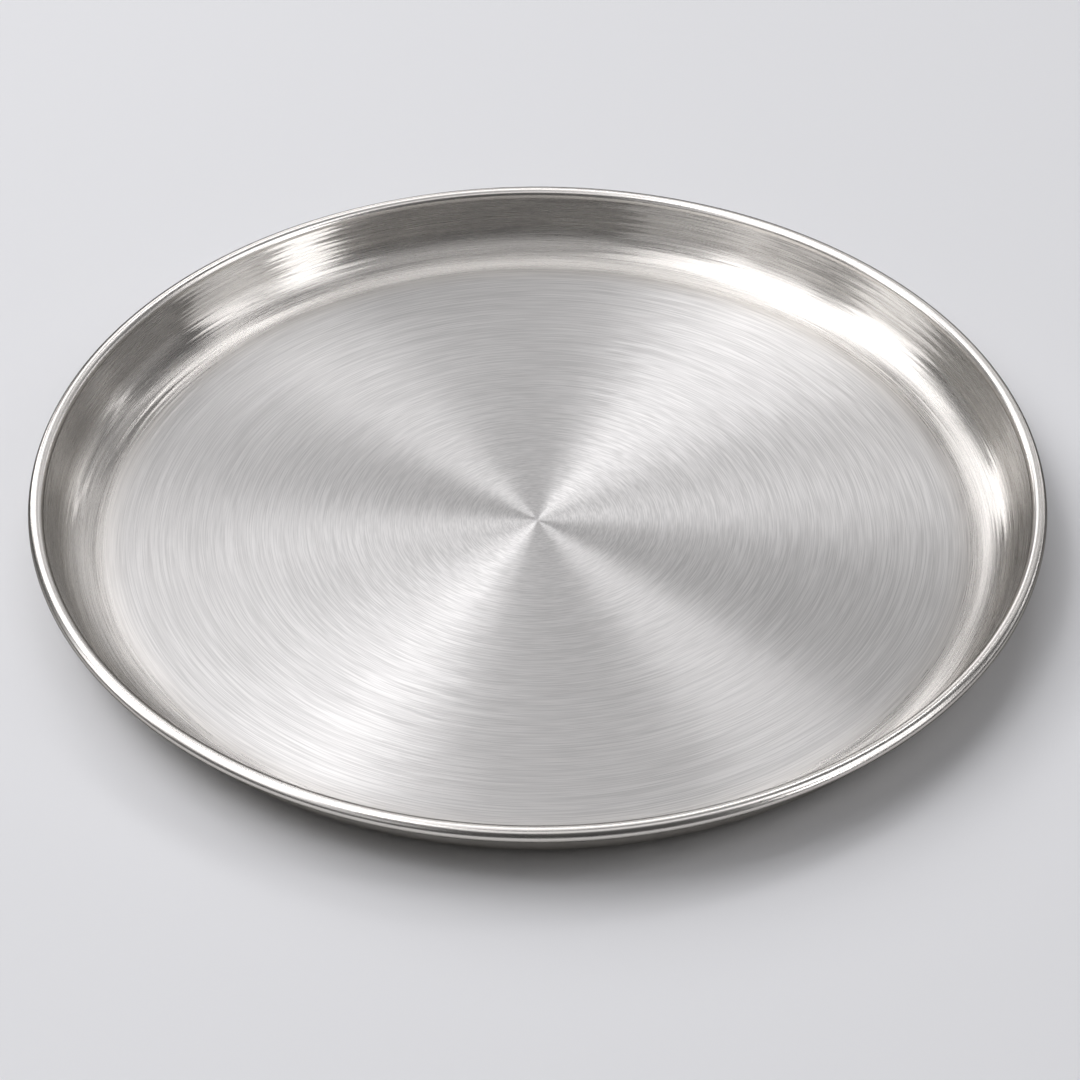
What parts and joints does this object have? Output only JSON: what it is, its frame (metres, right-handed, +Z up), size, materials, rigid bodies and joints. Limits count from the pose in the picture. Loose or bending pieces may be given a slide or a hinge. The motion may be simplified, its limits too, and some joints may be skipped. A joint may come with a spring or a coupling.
{
  "type": "thali plate",
  "caption": "Round shallow steel plate with a flat brushed floor, a short flared wall and a rim rolled over a hidden wire, for serving food or carrying small bowls.",
  "frame": {"origin": "centre of the flat underside, where the plate stands", "axes": "+Z up along the plate's axis, out of the open side; X and Y are any two directions across the round plate"},
  "size_m": [0.3, 0.3, 0.021],
  "materials": {
    "sheet_steel": "stainless sheet, floor and wall brushed in circles about the centre, rolled rim polished",
    "wire_steel": "plain drawn steel wire, hidden inside the rim"
  },
  "bodies": {
    "root": {"plate_sheet": "sheet_steel", "rim_wire": "wire_steel"}
  },
  "joints": []
}
